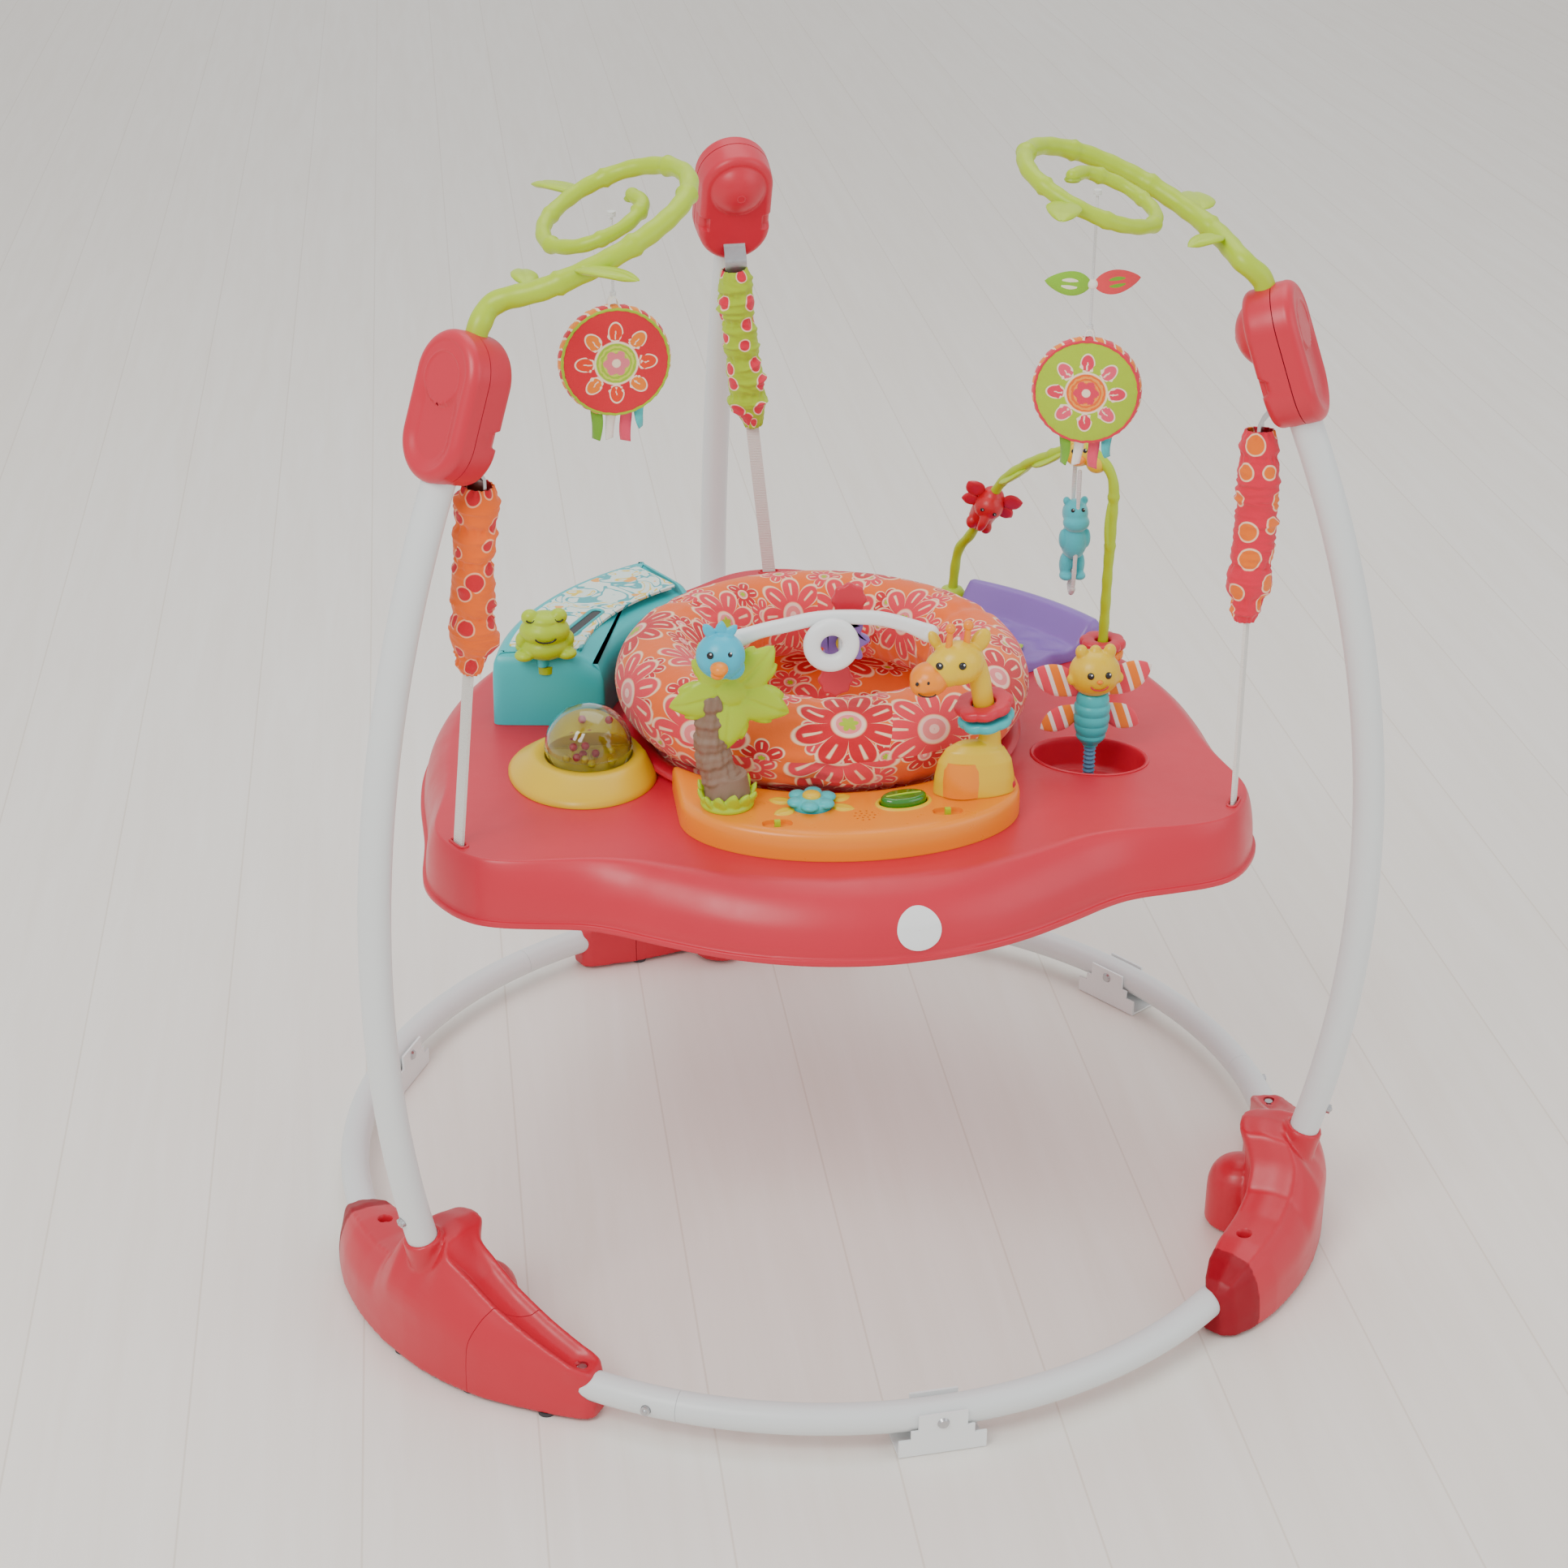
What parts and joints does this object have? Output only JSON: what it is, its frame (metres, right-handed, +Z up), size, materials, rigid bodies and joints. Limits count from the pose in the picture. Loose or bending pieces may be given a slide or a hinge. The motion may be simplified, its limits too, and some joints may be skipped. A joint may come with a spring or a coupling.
{
  "type": "activity jumper",
  "caption": "Free-standing baby activity jumper: tubular ring base, curved legs with spring housings, and a hanging toy tray with a turning padded seat.",
  "frame": {"origin": "on the floor, below the centre of the whole envelope", "axes": "+Z up, -Y the front where the child faces the music toy, +X to the right seen from the front"},
  "size_m": [0.8738, 0.9148, 0.948],
  "materials": {
    "tube_powder_white": "powder-coated satin",
    "white_plastic": "satin moulded",
    "coral_plastic": "satin moulded",
    "pad_rubber": "matte",
    "zinc_steel": "zinc plated",
    "spring_wire": "oiled wire",
    "webbing_white": "woven webbing",
    "sleeve_orange": "printed cotton",
    "sleeve_pink": "printed cotton",
    "sleeve_lime": "printed cotton",
    "lime_plastic": "satin moulded",
    "plush_multi": "printed plush",
    "seat_orange": "printed polyester",
    "purple_plastic": "satin moulded",
    "orange_plastic": "satin moulded",
    "circuit": "solder resist",
    "cell": "cell sleeve",
    "aqua_plastic": "satin moulded",
    "brown_plastic": "moulded bark",
    "yellow_plastic": "satin moulded",
    "clear_plastic": "polished"
  },
  "bodies": {
    "frame": {"base_tube_front": "tube_powder_white", "base_tube_left": "tube_powder_white", "base_tube_right": "tube_powder_white", "base_stub_tubes": "tube_powder_white", "floor_brackets": "white_plastic", "foot_shells": "coral_plastic", "foot_end_covers": "coral_plastic", "foot_pads": "pad_rubber", "frame_fasteners": "zinc_steel", "snap_buttons": "zinc_steel", "leg_stub_tubes": "tube_powder_white", "leg_tube_left": "tube_powder_white", "leg_tube_right": "tube_powder_white", "leg_tube_back": "tube_powder_white", "housing_outer_left": "coral_plastic", "housing_outer_right": "coral_plastic", "housing_outer_back": "coral_plastic", "housing_inner_shells": "coral_plastic", "spring_hangers": "zinc_steel", "suspension_springs": "spring_wire", "sleeve_left": "sleeve_orange", "sleeve_right": "sleeve_pink", "sleeve_back": "sleeve_lime", "vine_arm_left": "lime_plastic", "vine_arm_right": "lime_plastic"},
    "tray": {"tray_shell": "coral_plastic", "tray_retainer_ring": "coral_plastic", "suspension_straps": "webbing_white", "pond_panel": "purple_plastic", "music_base": "orange_plastic", "music_base_bottom": "orange_plastic", "music_electronics": "circuit", "music_batteries": "cell", "palm_tree": "brown_plastic", "toy_bar": "white_plastic", "giraffe": "yellow_plastic", "ball_bezel": "yellow_plastic", "slide_unit": "aqua_plastic", "arch_stem": "lime_plastic"},
    "seat": {"seat_ring": "coral_plastic", "seat_cushion": "seat_orange", "seat_sling": "seat_orange"},
    "spinner": {"flower_spinner": "coral_plastic"},
    "rings": {"neck_rings": "coral_plastic"},
    "ball": {"bead_ball": "clear_plastic"},
    "frog_slider": {"frog": "lime_plastic"},
    "flower_key": {"flower_button": "aqua_plastic"},
    "leaf_key": {"leaf_button": "lime_plastic"},
    "volume_slider": {"volume_switch": "lime_plastic"},
    "mode_slider": {"mode_switch": "lime_plastic"},
    "stalk": {"bee_stalk": "aqua_plastic"},
    "bee": {"bee_toy": "yellow_plastic"},
    "arch_ring_pair": {"arch_rings": "orange_plastic"},
    "elephant_bead": {"elephant": "coral_plastic"},
    "hippo_swing": {"hippo": "plush_multi"},
    "string_l": {"hanging_string_left": "webbing_white"},
    "disc_l": {"hanging_disc_left": "plush_multi"},
    "string_r": {"hanging_string_right": "webbing_white", "hanging_leaf_pair": "plush_multi"},
    "disc_r": {"hanging_disc_right": "plush_multi"}
  },
  "joints": [
    {"name": "bounce", "type": "slide", "parent": "frame", "child": "tray", "axis": [0, 0, 1], "range_m": [-0.1, 0.03], "stiffness_N_per_m": 900, "springref_m": 0.067, "deforming": ["suspension_springs", "sleeve_left", "sleeve_right", "sleeve_back"]},
    {"name": "seat_spin", "type": "hinge", "parent": "tray", "child": "seat", "pos_m": [-0.00421, -0.02119, 0.433], "axis": [0, 0, 1], "continuous": true},
    {"name": "spinner_turn", "type": "hinge", "parent": "tray", "child": "spinner", "pos_m": [-0.01221, -0.18319, 0.584], "axis": [0, 1, 0], "continuous": true},
    {"name": "neck_rings_turn", "type": "hinge", "parent": "tray", "child": "rings", "pos_m": [0.10479, -0.20119, 0.5], "axis": [-0.1957, -0.0652, 0.9785], "continuous": true},
    {"name": "ball_roll", "type": "hinge", "parent": "tray", "child": "ball", "pos_m": [-0.20721, -0.08519, 0.457], "axis": [1, 0, 0], "continuous": true},
    {"name": "frog_slide", "type": "slide", "parent": "tray", "child": "frog_slider", "axis": [0.5, 0.866, 0], "range_m": [0, 0.092]},
    {"name": "flower_press", "type": "slide", "parent": "tray", "child": "flower_key", "axis": [0, 0, -1], "range_m": [0, 0.0022], "stiffness_N_per_m": 900, "springref_m": -0.0012},
    {"name": "leaf_press", "type": "slide", "parent": "tray", "child": "leaf_key", "axis": [0, 0, -1], "range_m": [0, 0.0018], "stiffness_N_per_m": 900, "springref_m": -0.0012},
    {"name": "volume_slide", "type": "slide", "parent": "tray", "child": "volume_slider", "axis": [1, 0, 0], "range_m": [-0.0032, 0.0032]},
    {"name": "mode_slide", "type": "slide", "parent": "tray", "child": "mode_slider", "axis": [1, 0, 0], "range_m": [-0.0032, 0.0032]},
    {"name": "bee_nod", "type": "hinge", "parent": "tray", "child": "stalk", "pos_m": [0.21179, -0.10319, 0.41], "axis": [1, 0, 0], "range_deg": [-2.5, 2.5], "stiffness_Nm_per_rad": 0.6},
    {"name": "bee_rock", "type": "hinge", "parent": "stalk", "child": "bee", "pos_m": [0.21179, -0.10319, 0.44], "axis": [0, 1, 0], "range_deg": [-4, 4], "stiffness_Nm_per_rad": 0.6},
    {"name": "arch_rings_turn", "type": "hinge", "parent": "tray", "child": "arch_ring_pair", "pos_m": [0.26099, 0.06481, 0.457], "axis": [0, 0, 1], "continuous": true},
    {"name": "elephant_turn", "type": "hinge", "parent": "tray", "child": "elephant_bead", "pos_m": [0.17779, 0.19481, 0.545], "axis": [-0.2282, 0.5134, -0.8272], "continuous": true},
    {"name": "hippo_swing", "type": "hinge", "parent": "tray", "child": "hippo_swing", "pos_m": [0.23579, 0.09081, 0.618], "axis": [1, 0, 0], "range_deg": [-14, 14]},
    {"name": "string_left_swing", "type": "hinge", "parent": "frame", "child": "string_l", "pos_m": [-0.18266, -0.1411, 0.9165], "axis": [1, 0, 0], "range_deg": [-10, 10]},
    {"name": "disc_left_turn", "type": "hinge", "parent": "string_l", "child": "disc_l", "pos_m": [-0.18266, -0.1411, 0.803], "axis": [0, 0, 1], "continuous": true},
    {"name": "string_right_swing", "type": "hinge", "parent": "frame", "child": "string_r", "pos_m": [0.18887, -0.11577, 0.9165], "axis": [1, 0, 0], "range_deg": [-10, 10]},
    {"name": "disc_right_turn", "type": "hinge", "parent": "string_r", "child": "disc_r", "pos_m": [0.18887, -0.11577, 0.758], "axis": [0, 0, 1], "continuous": true}
  ]
}
